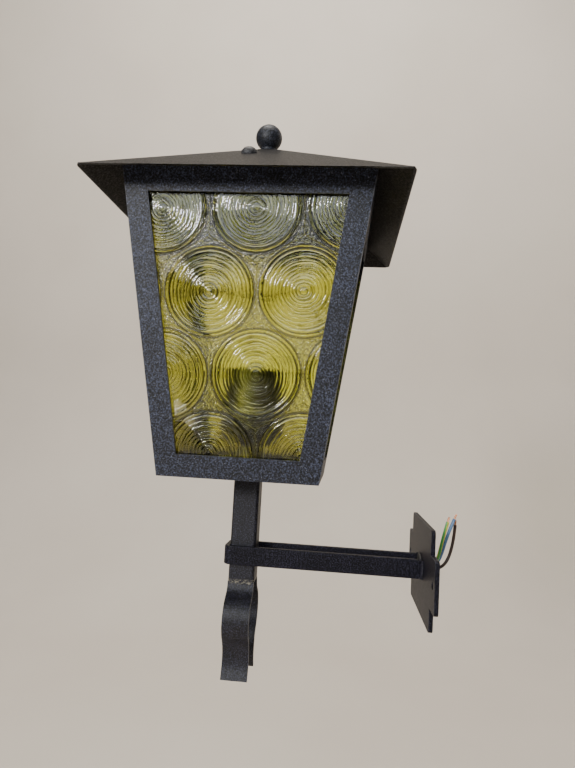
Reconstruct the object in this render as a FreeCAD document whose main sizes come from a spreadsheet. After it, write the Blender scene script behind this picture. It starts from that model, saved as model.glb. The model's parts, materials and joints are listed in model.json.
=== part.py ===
import FreeCAD, Part
import math
import os
import re
import Sketcher
from FreeCAD import Placement, Rotation, Vector

# Outdoor wall lantern: a tapered four-sided steel body with pressed-glass panes and a low pyramid
# roof stands on a square tube, which a flat bar bent round it carries from a wall plate.
# Frame: +Z up, the wall plate's back lies in the plane Y = 0 with the wall towards +Y, and
# Z = 0 is the middle of the arm. Millimetres.

doc = FreeCAD.newDocument("wall_lantern")

# ---------------------------------------------------------------- driving sizes
SIZES = [
    # wall plate
    ("plate_thick", 3), ("plate_width", 100), ("plate_height", 68), ("wing_width", 140),
    ("wing_height", 35), ("plate_corner", 3), ("fixing_spacing", 120),
    ("fixing_hole_radius", 2.75), ("cable_hole_radius", 8), ("grommet_flange", 1.5),
    # arm and stem
    ("reach", 138), ("stem_width", 20), ("stem_wall", 2), ("stem_corner", 2.5),
    ("strap_thick", 4), ("strap_height", 14), ("corner_clearance", 0.37), ("weld_leg", 3),
    ("wire_hole_radius", 5), ("wire_hole_height", 0.5),
    # ornamental tongues at the stem's lower end
    ("tongue_start", 20), ("lead_radius", 12), ("bulge_radius", 19), ("waist_radius", 26),
    ("lead_angle", 60), ("waist_angle", 42), ("tip_angle", 20), ("tip_length", 5),
    # body
    ("body_base", 60), ("body_height", 213.5), ("foot_half", 57.2), ("top_half", 87.3),
    ("frame_thick", 2), ("frame_border", 16), ("frame_head", 19), ("floor_thick", 2),
    ("drain_radius", 2.5), ("drain_offset", 35), ("glass_thick", 4), ("glass_margin", 7),
    ("glass_head_margin", 11), ("glass_corner_gap", 1.5),
    ("clip_width", 8), ("clip_thick", 1), ("clip_reach", 4), ("clip_foot", 4),
    ("clip_gap", 0.5), ("clip_spread", 30),
    # roof
    ("roof_half", 110), ("roof_rise", 66), ("roof_thick", 1.4), ("roof_flat_half", 6),
    ("roof_corner", 6), ("roof_gap", 0.3),
    ("bridge_width", 20), ("bridge_thick", 2), ("bridge_flat_half", 22), ("bridge_tab", 10),
    ("bridge_offset", -9), ("roof_screw_place", 37),
    ("rivet_radius", 2), ("rivet_head_radius", 3.6), ("rivet_head", 1.2),
    # roof screws
    ("screw_radius", 2), ("screw_head_radius", 6.2), ("screw_head_height", 4), ("screw_length", 7),
    ("screw_washer_thick", 0.8), ("screw_key", 2.3), ("screw_key_depth", 2.2),
    ("thread_clearance", 0.05), ("hole_clearance", 0.4), ("cut_over", 1),
    # finial
    ("ball_radius", 10.8), ("ball_height", 12.1), ("collar_radius", 6.5), ("collar_height", 2.2),
    ("stud_radius", 2.5), ("stud_grip", 8), ("stud_tail", 9), ("nut_across", 8),
    ("nut_height", 4), ("stud_washer_radius", 5), ("stud_washer_thick", 1),
    # lampholder
    ("nipple_radius", 5), ("nipple_bore", 3.5), ("nipple_below", 14), ("nipple_above", 10),
    ("ring_nut_radius", 7.2), ("ring_nut_height", 5), ("riser_radius", 8), ("riser_height", 17), ("upper_nut_radius", 9),
    ("holder_radius", 24), ("holder_foot_radius", 14), ("holder_wall", 2.5), ("cap_height", 24),
    ("holder_floor", 4), ("core_flange", 2), ("core_height", 9), ("core_radius", 14.8),
    ("shell_height", 32), ("shell_taper", 1.2), ("lamp_thread_radius", 13.4),
    ("lamp_thread_wall", 0.8), ("lamp_thread_height", 22), ("contact_width", 6),
    ("contact_length", 14), ("contact_thick", 0.6), ("terminal_radius", 2),
    ("terminal_place", 9), ("terminal_length", 6), ("seat_clearance", 0.2),
    # earth terminal on the floor
    ("earth_place", 24), ("earth_radius", 2), ("earth_head_radius", 4), ("earth_head", 2.4),
    ("tag_radius", 4.5), ("tag_thick", 0.8), ("tag_tail", 12),
    # cable and cores
    ("cable_radius", 3), ("cable_bend", 12), ("cable_start", 12), ("core_wire_radius", 1.2),
    ("copper_radius", 0.8), ("copper_length", 4),
]

# ---------------------------------------------------------------- sizes that follow from them
FORMULAS = {
    "stem_half": "stem_width / 2",
    "strap_outer": "stem_half + strap_thick",
    "strap_bend": "stem_corner - corner_clearance / (sqrt(2) - 1)",
    "tilt": "atan((top_half - foot_half) / body_height)",
    "slope_length": "body_height / cos(tilt)",
    "wall_run": "frame_thick / cos(tilt)",
    "foot_inner": "foot_half - wall_run",
    "top_inner": "top_half - wall_run",
    "pane_inset": "(frame_thick + glass_thick) / cos(tilt) + glass_corner_gap",
    "pitch": "atan(roof_rise / roof_half)",
    "roof_drop": "roof_thick / cos(pitch)",
    "roof_flat": "roof_rise * (1 - roof_flat_half / roof_half)",
    "eave_height": "body_base + body_height + roof_gap + roof_drop"
                   " - (roof_half - top_half) * roof_rise / roof_half",
    "floor_top": "body_base + floor_thick",
    "holder_base_height": "floor_top + ring_nut_height + riser_height",
    "tongue_middle": "stem_half - stem_wall / 2",
    "lead_x": "tongue_middle + lead_radius",
    "bulge_x": "lead_x - (lead_radius + bulge_radius) * cos(lead_angle * 1 deg)",
    "bulge_z": "0 - tongue_start - (lead_radius + bulge_radius) * sin(lead_angle * 1 deg)",
    "waist_x": "bulge_x + (bulge_radius + waist_radius) * cos(waist_angle * 1 deg)",
    "waist_z": "bulge_z - (bulge_radius + waist_radius) * sin(waist_angle * 1 deg)",
    "head_sphere": "(screw_head_radius ^ 2 + screw_head_height ^ 2) / (2 * screw_head_height)",
}

sheet = doc.addObject("Spreadsheet::Sheet", "Sizes")
for row, (alias, number) in enumerate(SIZES, start=1):
    sheet.set(f"A{row}", alias)
    sheet.set(f"B{row}", str(number))
    sheet.setAlias(f"B{row}", alias)
doc.recompute()

ALIASES = {alias for alias, number in SIZES}


def expand(formula):
    """Write a formula's words out as spreadsheet cells, following FORMULAS as deep as it goes."""
    def replace(match):
        word = match.group(0)
        if word in FORMULAS:
            return "(" + expand(FORMULAS[word]) + ")"
        return f"<<Sizes>>.{word}" if word in ALIASES else word
    return re.sub(r"[a-z][a-z_]*", replace, str(formula))


def value(formula):
    """The number that a formula has now."""
    result = sheet.evalExpression(expand(formula))
    return float(getattr(result, "Value", result))


def tie(thing, prop, formula):
    """Bind a property to a formula of the sheet's cells."""
    thing.setExpression(prop, expand(formula))


def at(x="0", y="0", z="0"):
    """A point whose coordinates are formulas."""
    return Vector(value(x), value(y), value(z))


# ---------------------------------------------------------------- sketches and features
def new_body(label):
    body = doc.addObject("PartDesign::Body", label)
    body.Label = label
    return body


def new_sketch(body, name, role="XY_Plane", offset="0"):
    """A sketch on one of its body's own planes, moved along that plane's normal by offset."""
    sketch = body.newObject("Sketcher::SketchObject", name)
    plane = next(f for f in body.Origin.OriginFeatures if f.Role == role)
    sketch.AttachmentSupport = [(plane, "")]
    sketch.MapMode = "FlatFace"
    tie(sketch, "AttachmentOffset.Base.z", offset)
    return sketch


def pin(sketch, geometry, end, x, y):
    """Fix a point of a sketch at two formulas."""
    for kind, formula in (("DistanceX", x), ("DistanceY", y)):
        index = sketch.addConstraint(
            Sketcher.Constraint(kind, -1, 1, geometry, end, value(formula)))
        name = f"{kind[-1].lower()}{geometry}_{end}"
        sketch.renameConstraint(index, name)
        tie(sketch, f"Constraints.{name}", formula)


def fix_radius(sketch, geometry, radius):
    index = sketch.addConstraint(Sketcher.Constraint("Radius", geometry, value(radius)))
    sketch.renameConstraint(index, f"radius{geometry}")
    tie(sketch, f"Constraints.radius{geometry}", radius)


def draw_circle(sketch, x, y, radius):
    circle = Part.Circle(at(x, y), Vector(0, 0, 1), value(radius))
    geometry = sketch.addGeometry(circle, False)
    pin(sketch, geometry, 3, x, y)
    fix_radius(sketch, geometry, radius)


def draw_outline(sketch, points):
    """A closed outline. A point is (x, y), or (x, y, radius, centre x, centre y) where the edge
    that leaves it is an arc of under half a turn."""
    edges = []
    for here, after in zip(points, points[1:] + points[:1]):
        start, end = at(*here[:2]), at(*after[:2])
        if len(here) == 2:
            edges.append((sketch.addGeometry(Part.LineSegment(start, end), False), 1, 2))
            continue
        centre = at(*here[3:])
        circle = Part.Circle(centre, Vector(0, 0, 1), value(here[2]))
        turn = [math.atan2(p.y - centre.y, p.x - centre.x) for p in (start, end)]
        if (turn[1] - turn[0]) % math.tau < math.pi:
            arc, first, last = Part.ArcOfCircle(circle, turn[0], turn[1]), 1, 2
        else:
            arc, first, last = Part.ArcOfCircle(circle, turn[1], turn[0]), 2, 1
        edges.append((sketch.addGeometry(arc, False), first, last))
    for here, edge, after in zip(points, edges, edges[1:] + edges[:1]):
        sketch.addConstraint(Sketcher.Constraint("Coincident", edge[0], edge[2], after[0], after[1]))
        pin(sketch, edge[0], edge[1], *here[:2])
        if len(here) > 2:
            fix_radius(sketch, edge[0], here[2])


def rounded(corners):
    """Outline points for corners (x, y) or (x, y, radius), with every edge along X or Y."""
    points = []
    count = len(corners)
    for index, corner in enumerate(corners):
        if len(corner) == 2:
            points.append(corner)
            continue
        x, y, radius = corner
        here = at(x, y)
        steps = []
        for other in (corners[index - 1], corners[(index + 1) % count]):
            way = at(*other[:2]) - here
            flat = abs(way.x) > abs(way.y)
            sign = "+" if (way.x if flat else way.y) > 0 else "-"
            steps.append((f"({x}) {sign} ({radius})", y) if flat
                         else (x, f"({y}) {sign} ({radius})"))
        centre = (steps[0][0], steps[1][1]) if steps[1][0] == x else (steps[1][0], steps[0][1])
        points.append((*steps[0], radius, *centre))
        points.append(steps[1])
    return points


def rectangle(half_x, half_y, radius=None):
    ends = [(half_x, half_y), (f"0 - ({half_x})", half_y),
            (f"0 - ({half_x})", f"0 - ({half_y})"), (half_x, f"0 - ({half_y})")]
    return rounded([(*end, radius) for end in ends]) if radius else ends


def extrude(body, sketch, length, kind="Pad", backwards=False):
    feature = body.newObject(f"PartDesign::{kind}", f"{kind}_of_{sketch.Name}")
    feature.Profile = sketch
    feature.Reversed = backwards
    tie(feature, "Length", length)
    return feature


def loft(body, first, second, kind="AdditiveLoft"):
    feature = body.newObject(f"PartDesign::{kind}", f"{kind}_of_{first.Name}")
    feature.Profile = first
    feature.Sections = [second]
    feature.Ruled = True
    return feature


def turned(label, profile, place):
    """A body turned about +Z from an outline of (radius, height) points."""
    body = new_body(label)
    sketch = new_sketch(body, f"{label}_profile", "XZ_Plane")
    draw_outline(sketch, profile)
    revolution = body.newObject("PartDesign::Revolution", f"{label}_turning")
    revolution.Profile = sketch
    revolution.ReferenceAxis = (sketch, ["V_Axis"])
    revolution.Angle = 360
    body.Placement = place
    return body


def ring(label, outer, inner, height, place):
    """A flat ring or short tube standing on its placement's XY plane."""
    return turned(label, [(inner, "0"), (outer, "0"), (outer, height), (inner, height)], place)


# ---------------------------------------------------------------- primitives
def primitive(kind, name, place, **sizes):
    thing = doc.addObject(f"Part::{kind}", name)
    for prop, formula in sizes.items():
        tie(thing, prop, formula)
    thing.Placement = place
    return thing


def cut(label, base, tools):
    tool = tools[0]
    if len(tools) > 1:
        tool = doc.addObject("Part::MultiFuse", f"{label}_tools")
        tool.Shapes = tools
    thing = doc.addObject("Part::Cut", label)
    thing.Label = label
    thing.Base = base
    thing.Tool = tool
    return thing


def common(label, things):
    thing = doc.addObject("Part::MultiCommon", label)
    thing.Label = label
    thing.Shapes = things
    return thing


def fuse(label, things):
    thing = doc.addObject("Part::MultiFuse", label)
    thing.Label = label
    thing.Shapes = things
    return thing


def solid(label, shape):
    """A piece, or a group of like pieces, whose shape is worked out from the sheet in code."""
    thing = doc.addObject("Part::Feature", label)
    thing.Label = label
    thing.Shape = shape
    return thing


Z_AXIS = Vector(0, 0, 1)
NO_TURN = Rotation()


def on_axis(height="0"):
    """The lantern's vertical axis at a height."""
    return Placement(at("0", "0 - reach", height), NO_TURN)


SIDES = {"front": 0, "right": 90, "wall": 180, "left": 270}


def side_place(side):
    """The middle of a side's lower edge: X along the edge, Y up the slope, Z outwards."""
    quarter = Placement(at("0", "0 - reach", "body_base"), Rotation(Z_AXIS, SIDES[side]))
    lean = Rotation(Vector(1, 0, 0), 90 + value("tilt"))
    return quarter * Placement(at("0", "0 - foot_half"), lean)


# ---------------------------------------------------------------- wall plate and arm
def make_wall_plate():
    body = new_body("wall_plate")
    sketch = new_sketch(body, "plate_outline", "XZ_Plane")
    wide, tall = "wing_width / 2", "wing_height / 2"
    inner, high = "plate_width / 2", "plate_height / 2"
    quarter = [(wide, tall, "plate_corner"), (inner, tall), (inner, high, "plate_corner")]
    corners = []
    for turn, (sx, sz) in enumerate((("", ""), ("0 - ", ""), ("0 - ", "0 - "), ("", "0 - "))):
        row = [(f"{sx}{x}", f"{sz}{z}", *rest) for x, z, *rest in quarter]
        corners += row if turn % 2 == 0 else row[::-1]
    draw_outline(sketch, rounded(corners))
    draw_circle(sketch, "0", "0", "cable_hole_radius")
    for side in ("", "0 - "):
        draw_circle(sketch, f"{side}fixing_spacing / 2", "0", "fixing_hole_radius")
    extrude(body, sketch, "plate_thick")
    return body


def make_grommet():
    bore = "cable_radius + seat_clearance"
    through, flange = "cable_hole_radius", "cable_hole_radius + grommet_flange"
    length = "plate_thick + grommet_flange"
    facing = Placement(Vector(), Rotation(Vector(1, 0, 0), 90))
    return turned("cable_grommet", [
        (bore, "0"), (through, "0"), (through, "plate_thick"), (flange, "plate_thick"),
        (flange, length), (bore, length)], facing)


def make_arm():
    body = new_body("arm_strap")
    sketch = new_sketch(body, "strap_outline", offset="0 - strap_height / 2")
    end = "0 - plate_thick"
    bend, outside = "0 - reach - stem_half", "0 - reach - strap_outer"
    large = "strap_bend + strap_thick"
    draw_outline(sketch, rounded([
        ("strap_outer", end), ("strap_outer", outside, large),
        ("0 - strap_outer", outside, large), ("0 - strap_outer", end),
        ("0 - stem_half", end), ("0 - stem_half", bend, "strap_bend"),
        ("stem_half", bend, "strap_bend"), ("stem_half", end)]))
    extrude(body, sketch, "strap_height")
    beads = []
    leg, length = value("weld_leg"), value("strap_height")
    for side in (1, -1):
        corner = Vector(side * value("strap_outer"), -value("plate_thick"), -length / 2)
        wire = Part.makePolygon([corner, corner + Vector(side * leg, 0, 0),
                                 corner + Vector(0, -leg, 0), corner])
        beads.append(Part.Face(wire).extrude(Vector(0, 0, length)))
    solid("arm_welds", Part.makeCompound(beads))


def make_stem():
    body = new_body("stem_tube_blank")
    square = new_sketch(body, "tube_section", offset="0 - tongue_start")
    draw_outline(square, rectangle("stem_half", "stem_half", "stem_corner"))
    inside = "stem_half - stem_wall"
    draw_outline(square, rectangle(inside, inside))
    extrude(body, square, "tongue_start + body_base")
    for name, side in (("near", ""), ("far", "0 - ")):
        make_tongue(body, name, side)
    body.Placement = on_axis()
    toward_wall = Rotation(Vector(1, 0, 0), -90)
    hole = primitive("Cylinder", "wire_hole",
                     Placement(at("0", "0 - reach", "wire_hole_height"), toward_wall),
                     Radius="wire_hole_radius", Height="stem_width")
    cut("stem_tube", body, [hole])


def make_tongue(body, name, side):
    """A strip of the tube's wall below the arm: arcs out, round the bulge and in at the waist,
    then a straight flared tip. Both its faces are drawn from the same three centres."""
    lead, waist, tip = "lead_angle * 1 deg", "waist_angle * 1 deg", "tip_angle * 1 deg"
    top = "0 - tongue_start"
    faces = []
    for shift in ("+ stem_wall / 2", "- stem_wall / 2"):
        first = f"(lead_radius - (0 {shift}))"
        second = f"(bulge_radius {shift})"
        third = f"(waist_radius - (0 {shift}))"
        flare = (f"waist_x - {third} * cos({tip})", f"waist_z - {third} * sin({tip})")
        end = (f"{flare[0]} + tip_length * sin({tip})", f"{flare[1]} - tip_length * cos({tip})")
        faces.append([
            (f"tongue_middle {shift}", top, first, "lead_x", top),
            (f"lead_x - {first} * cos({lead})", f"{top} - {first} * sin({lead})",
             second, "bulge_x", "bulge_z"),
            (f"bulge_x + {second} * cos({waist})", f"bulge_z - {second} * sin({waist})",
             third, "waist_x", "waist_z"),
            flare, end])
    outer, inner = faces
    # the inner face is walked back up, so each arc belongs to the point below it
    back = [inner[4], (*inner[3], *inner[2][2:]), (*inner[2][:2], *inner[1][2:]),
            (*inner[1][:2], *inner[0][2:]), inner[0][:2]]
    points = []
    for point in outer + back:
        mirrored = [f"{side}({part})" if index in (0, 3) else part
                    for index, part in enumerate(point)]
        points.append(tuple(mirrored))
    sketch = new_sketch(body, f"tongue_{name}", "XZ_Plane", "0 - stem_half")
    draw_outline(sketch, points)
    extrude(body, sketch, "stem_width")


# ---------------------------------------------------------------- body
def make_side(side):
    # the two frames that the roof bridge is riveted to are drilled with it, in make_bridge
    riveted = side in ("right", "left")
    body = new_body(f"frame_blank_{side}" if riveted else f"side_frame_{side}")
    outer = new_sketch(body, f"frame_face_{side}")
    draw_outline(outer, [("0 - foot_half", "0"), ("foot_half", "0"),
                         ("top_half", "slope_length"), ("0 - top_half", "slope_length")])
    inner = new_sketch(body, f"frame_back_{side}", offset="0 - frame_thick")
    low = "0 - frame_thick * tan(tilt)"
    high = f"slope_length + {low}"
    draw_outline(inner, [("0 - foot_inner", low), ("foot_inner", low),
                         ("top_inner", high), ("0 - top_inner", high)])
    loft(body, outer, inner)
    window = new_sketch(body, f"window_{side}")
    draw_outline(window, side_outline("frame_border", "frame_border", "frame_head"))
    extrude(body, window, "2 * frame_thick", "Pocket")
    body.Placement = side_place(side)

    pane = new_body(f"glass_pane_{side}")
    sheet_of_glass = new_sketch(pane, f"pane_outline_{side}", offset="0 - frame_thick")
    draw_outline(sheet_of_glass, side_outline("pane_inset", "glass_margin",
                                              "glass_head_margin"))
    extrude(pane, sheet_of_glass, "glass_thick", backwards=True)
    pane.Placement = side_place(side)


def side_outline(inset, low, high):
    """A trapezoid that follows a side's slanted edges at an inset, between two margins."""
    def half(height):
        return f"foot_half + ({height}) * sin(tilt) - ({inset})"
    top = f"slope_length - ({high})"
    return [(f"0 - ({half(low)})", low), (half(low), low),
            (half(top), top), (f"0 - ({half(top)})", top)]


def make_clips():
    """Spring clips on the frames' inner faces, two at the foot and two at the head of a pane."""
    thick, width, gap = value("clip_thick"), value("clip_width"), value("clip_gap")
    back, pane = -value("frame_thick"), value("glass_thick")
    margin, reach, foot = value("glass_margin"), value("clip_reach"), value("clip_foot")
    clips = []
    for side in SIDES:
        for edge, way in ((margin, -1), (value("slope_length - glass_head_margin"), 1)):
            for across in (-value("clip_spread"), value("clip_spread")):
                # foot on the frame, riser beside the pane's edge, finger over its inner face
                near, far = edge + way * gap, edge + way * (gap + foot)
                boxes = [(near, far, back - thick, back),
                         (near, near + way * thick, back - pane - thick, back),
                         (edge - way * reach, near + way * thick,
                          back - pane - thick, back - pane)]
                parts = []
                for y_a, y_b, z_a, z_b in boxes:
                    corner = Vector(across - width / 2, min(y_a, y_b), z_a)
                    parts.append(Part.makeBox(width, abs(y_b - y_a), z_b - z_a, corner))
                clip = parts[0].multiFuse(parts[1:]).removeSplitter().Solids[0]
                clip.Placement = side_place(side)
                clips.append(clip)
    solid("glass_clips", Part.makeCompound(clips))


def make_floor():
    body = new_body("floor_plate")
    sketch = new_sketch(body, "floor_outline")
    draw_outline(sketch, rectangle("foot_inner", "foot_inner"))
    draw_circle(sketch, "0", "0", "nipple_radius + seat_clearance")
    draw_circle(sketch, "earth_place", "0", "earth_radius")
    for x in ("drain_offset", "0 - drain_offset"):
        for y in ("drain_offset", "0 - drain_offset"):
            draw_circle(sketch, x, y, "drain_radius")
    extrude(body, sketch, "floor_thick")
    body.Placement = on_axis("body_base")

    length = "earth_head + tag_thick + floor_thick + earth_head"
    shank = primitive("Cylinder", "earth_shank",
                      Placement(at("earth_place", "0 - reach", "body_base - earth_head"), NO_TURN),
                      Radius="earth_radius", Height=length)
    head = primitive("Cylinder", "earth_pan_head",
                     Placement(at("earth_place", "0 - reach", "floor_top + tag_thick"), NO_TURN),
                     Radius="earth_head_radius", Height="earth_head")
    fuse("earth_screw", [shank, head])
    eye = primitive("Cylinder", "tag_eye",
                    Placement(at("earth_place", "0 - reach", "floor_top"), NO_TURN),
                    Radius="tag_radius", Height="tag_thick")
    tail = primitive("Box", "tag_barrel",
                     Placement(at("earth_place", "0 - reach - tag_radius / 2", "floor_top"),
                               NO_TURN),
                     Length="tag_tail", Width="tag_radius", Height="tag_thick")
    bore = primitive("Cylinder", "tag_bore",
                     Placement(at("earth_place", "0 - reach", "floor_top - tag_thick"), NO_TURN),
                     Radius="earth_radius", Height="3 * tag_thick")
    cut("earth_tag", fuse("tag_blank", [eye, tail]), [bore])


# ---------------------------------------------------------------- lampholder
def make_lampholder():
    tube_length = "nipple_below + floor_thick + ring_nut_height + riser_height + nipple_above"
    ring("holder_nipple", "nipple_radius", "nipple_bore", tube_length,
         on_axis("body_base - nipple_below"))
    clear = "nipple_radius + seat_clearance / 4"
    ring("nipple_lower_nut", "ring_nut_radius", clear, "ring_nut_height",
         on_axis("body_base - ring_nut_height"))
    ring("nipple_upper_nut", "upper_nut_radius", clear, "ring_nut_height", on_axis("floor_top"))
    ring("holder_riser", "riser_radius", clear, "riser_height",
         on_axis("floor_top + ring_nut_height"))
    bore, wall = "nipple_radius + seat_clearance", "holder_radius - holder_wall"
    turned("holder_cap", [
        (bore, "0"), ("holder_foot_radius", "0"), ("holder_radius", "cap_height / 3"),
        ("holder_radius", "cap_height"), (wall, "cap_height"),
        (wall, "cap_height / 3 + holder_wall"), ("holder_foot_radius", "holder_floor"),
        (bore, "holder_floor")], on_axis("holder_base_height"))

    core_place = on_axis("holder_base_height + cap_height")
    flange = "holder_radius - holder_wall / 2"
    core = turned("ceramic_blank", [
        ("0", "0"), (flange, "0"), (flange, "core_flange"), ("core_radius", "core_flange"),
        ("core_radius", "core_height"), ("0", "core_height")], core_place)
    screws, holes = [], []
    for number, way in enumerate(("", "0 - "), start=1):
        place = on_axis("holder_base_height + cap_height - terminal_length / 2")
        place.Base += at(f"{way}terminal_place")
        holes.append(primitive("Cylinder", f"terminal_hole_{number}", place,
                               Radius="terminal_radius", Height="terminal_length"))
        screws.append(Part.makeCylinder(value("terminal_radius"), value("terminal_length"),
                                        place.Base))
    cut("holder_core", core, holes)
    solid("terminal_screws", Part.makeCompound(screws))

    shell_foot = "core_radius + seat_clearance"
    turned("holder_shell", [
        (shell_foot, "0"), ("holder_radius", "0"),
        ("holder_radius - shell_taper", "shell_height"),
        (shell_foot, "shell_height")],
        on_axis("holder_base_height + cap_height + core_flange"))
    core_top = "holder_base_height + cap_height + core_height"
    ring("holder_thread", "lamp_thread_radius + lamp_thread_wall", "lamp_thread_radius",
         "lamp_thread_height", on_axis(core_top))
    spring = new_body("holder_contact")
    profile = new_sketch(spring, "contact_profile", "XZ_Plane", "0 - contact_width / 2")
    half, rise = "contact_length / 2", "contact_length / 3"
    draw_outline(profile, [
        (f"0 - {half}", "0"), (half, "0"), (half, "contact_thick"),
        (f"contact_thick - {half}", "contact_thick"), ("contact_thick", rise),
        ("contact_thick", f"{rise} + contact_thick"), ("0", f"{rise} + contact_thick"),
        (f"0 - {half}", "2 * contact_thick")])
    extrude(spring, profile, "contact_width")
    spring.Placement = on_axis(core_top)


# ---------------------------------------------------------------- roof
def make_roof():
    body = new_body("roof_blank")
    eave = new_sketch(body, "eave_outline")
    draw_outline(eave, rectangle("roof_half", "roof_half"))
    crown = new_sketch(body, "crown_outline", offset="roof_flat")
    draw_outline(crown, rectangle("roof_flat_half", "roof_flat_half"))
    loft(body, eave, crown)
    under_eave = new_sketch(body, "under_eave")
    inner = "roof_half - roof_thick / sin(pitch)"
    draw_outline(under_eave, rectangle(inner, inner))
    under_crown = new_sketch(body, "under_crown", offset="roof_flat - roof_thick")
    inner = "roof_half * (1 - (roof_flat - roof_thick + roof_drop) / roof_rise)"
    draw_outline(under_crown, rectangle(inner, inner))
    loft(body, under_eave, under_crown, "SubtractiveLoft")
    trim = new_sketch(body, "corner_trim", offset="0 - roof_thick")
    draw_outline(trim, rectangle("roof_half + roof_corner", "roof_half + roof_corner"))
    draw_outline(trim, rectangle("roof_half", "roof_half", "roof_corner"))
    extrude(body, trim, "roof_rise", "Pocket", backwards=True)
    body.Placement = on_axis("eave_height")

    tools = [primitive("Cylinder", "crown_hole", on_axis("eave_height + roof_flat - roof_thick - cut_over"),
                       Radius="stud_radius + seat_clearance",
                       Height="roof_thick + 2 * cut_over")]
    for side in (1, -1):
        place = screw_place(side) * Placement(at(z="0 - roof_thick - cut_over"), NO_TURN)
        tools.append(primitive("Cylinder", f"screw_hole_{side + 1}", place,
                               Radius="screw_radius + hole_clearance",
                               Height="roof_thick + 2 * cut_over"))
    sheet = cut("roof_sheet", body, tools)

    # four slopes, welded along the ridges, each a plain plate with its own piece of the crown
    for side in SIDES:
        quarter = new_body(f"quarter_{side}")
        wedge = new_sketch(quarter, f"wedge_{side}")
        far = "roof_half + roof_corner"
        draw_outline(wedge, [("0", "0"), (f"0 - ({far})", f"0 - ({far})"),
                             (far, f"0 - ({far})")])
        extrude(quarter, wedge, "roof_rise")
        quarter.Placement = (on_axis("eave_height - roof_thick")
                             * Placement(Vector(), Rotation(Z_AXIS, SIDES[side])))
        common(f"roof_slope_{side}", [sheet, quarter])


def screw_place(side):
    """A roof screw's seat on the outer face of a side slope, Z square to the slope."""
    height = "eave_height + (roof_half - roof_screw_place) * roof_rise / roof_half"
    seat = at("roof_screw_place", "0 - reach + bridge_offset", height)
    seat.x *= side
    return Placement(seat, Rotation(Vector(0, 1, 0), side * value("pitch")))


def make_bridge():
    """The strap under the roof: flat in the middle, a leg along each side slope, a tab that is
    riveted to each side frame. It passes beside the finial's nut."""
    under = "(roof_half - ({0})) * roof_rise / roof_half - roof_drop"
    inner_top = "top_inner"
    pieces = []
    centre = on_axis("eave_height")
    centre.Base += at("0", "bridge_offset - bridge_width / 2")
    flat_top = under.format("bridge_flat_half")
    pieces.append(primitive(
        "Box", "bridge_middle", centre * Placement(
            at("0 - bridge_flat_half", "0", f"{flat_top} - bridge_thick"), NO_TURN),
        Length="2 * bridge_flat_half", Width="bridge_width", Height="bridge_thick"))
    tools = []
    rivets = []
    for side, name in ((1, "right"), (-1, "left")):
        turn = Rotation(Z_AXIS, 0 if side == 1 else 180)
        mirror = Placement(at("0", "bridge_offset"), NO_TURN)
        way = on_axis("eave_height") * mirror * Placement(Vector(), turn)
        edge = at("0", "0 - bridge_width / 2")
        leg_top = Placement(at("bridge_flat_half", "0", flat_top),
                            Rotation(Vector(0, 1, 0), value("pitch")))
        length = f"({inner_top} - bridge_flat_half) / cos(pitch) - bridge_thick / 2"
        pieces.append(primitive(
            "Box", f"bridge_leg_{name}",
            way * leg_top * Placement(edge + at(z="0 - bridge_thick"), NO_TURN),
            Length=length, Width="bridge_width", Height="bridge_thick"))
        # the tab lies on the frame's inner face, which leans out at the body's tilt
        rise = f"{under.format(inner_top)} - bridge_thick / 2"
        reach = f"{inner_top} + ({rise} + eave_height - body_base - body_height) * tan(tilt)"
        lean = Placement(at(reach, "0", rise), Rotation(Vector(0, 1, 0), value("tilt")))
        tab = lean * Placement(edge + at("0 - bridge_thick", "0", "0 - bridge_tab"), NO_TURN)
        pieces.append(primitive("Box", f"bridge_tab_{name}", way * tab, Length="bridge_thick",
                                Width="bridge_width", Height="bridge_tab"))
        hole = screw_place(side) * Placement(at(z="0 - roof_thick - bridge_thick - cut_over"), NO_TURN)
        tools.append(primitive("Cylinder", f"bridge_hole_{name}", hole,
                               Radius="screw_radius + thread_clearance",
                               Height="bridge_thick + 2 * cut_over"))
        outward = Placement(at(z="0 - bridge_tab / 2"), Rotation(Vector(0, 1, 0), 90))
        rivets.append((way * lean * outward, name))
    shanks = []
    for place, name in rivets:
        start = place * Placement(at(z="0 - bridge_thick - rivet_head"), NO_TURN)
        hole = primitive("Cylinder", f"rivet_hole_{name}", start, Radius="rivet_radius",
                         Height="rivet_head * 2 + bridge_thick + frame_thick")
        tools.append(hole)
        frame_blank = doc.getObjectsByLabel(f"frame_blank_{name}")[0]
        cut(f"side_frame_{name}", frame_blank, [hole])
        head = Part.makeCylinder(value("rivet_head_radius"), value("rivet_head"))
        shank = Part.makeCylinder(value("rivet_radius"),
                                  value("rivet_head + bridge_thick + frame_thick"))
        rivet = head.fuse(shank).removeSplitter().Solids[0]
        rivet.Placement = start
        shanks.append(rivet)
    cut("roof_bridge", fuse("bridge_blank", pieces), tools)
    solid("bridge_rivets", Part.makeCompound(shanks))


def make_roof_screw(side, name):
    seat = screw_place(side)
    above = seat * Placement(at(z="screw_washer_thick"), NO_TURN)
    dome_low = above * Placement(at(z="screw_head_height - head_sphere"), NO_TURN)
    dome = primitive("Sphere", f"dome_{name}", dome_low, Radius="head_sphere",
                     Angle1="asin((head_sphere - screw_head_height) / head_sphere)")
    shank_place = seat * Placement(at(z="screw_washer_thick - screw_length"), NO_TURN)
    shank = primitive("Cylinder", f"shank_{name}", shank_place, Radius="screw_radius",
                      Height="screw_length + screw_head_height / 4")
    key_place = above * Placement(at(z="screw_head_height - screw_key_depth"), NO_TURN)
    key = primitive("Prism", f"key_{name}", key_place, Circumradius="screw_key",
                    Height="2 * screw_key_depth")
    cut(f"roof_screw_{name}", fuse(f"screw_blank_{name}", [dome, shank]), [key])
    ring(f"screw_washer_{name}", "screw_head_radius", "screw_radius + thread_clearance",
         "screw_washer_thick", seat)


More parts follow.
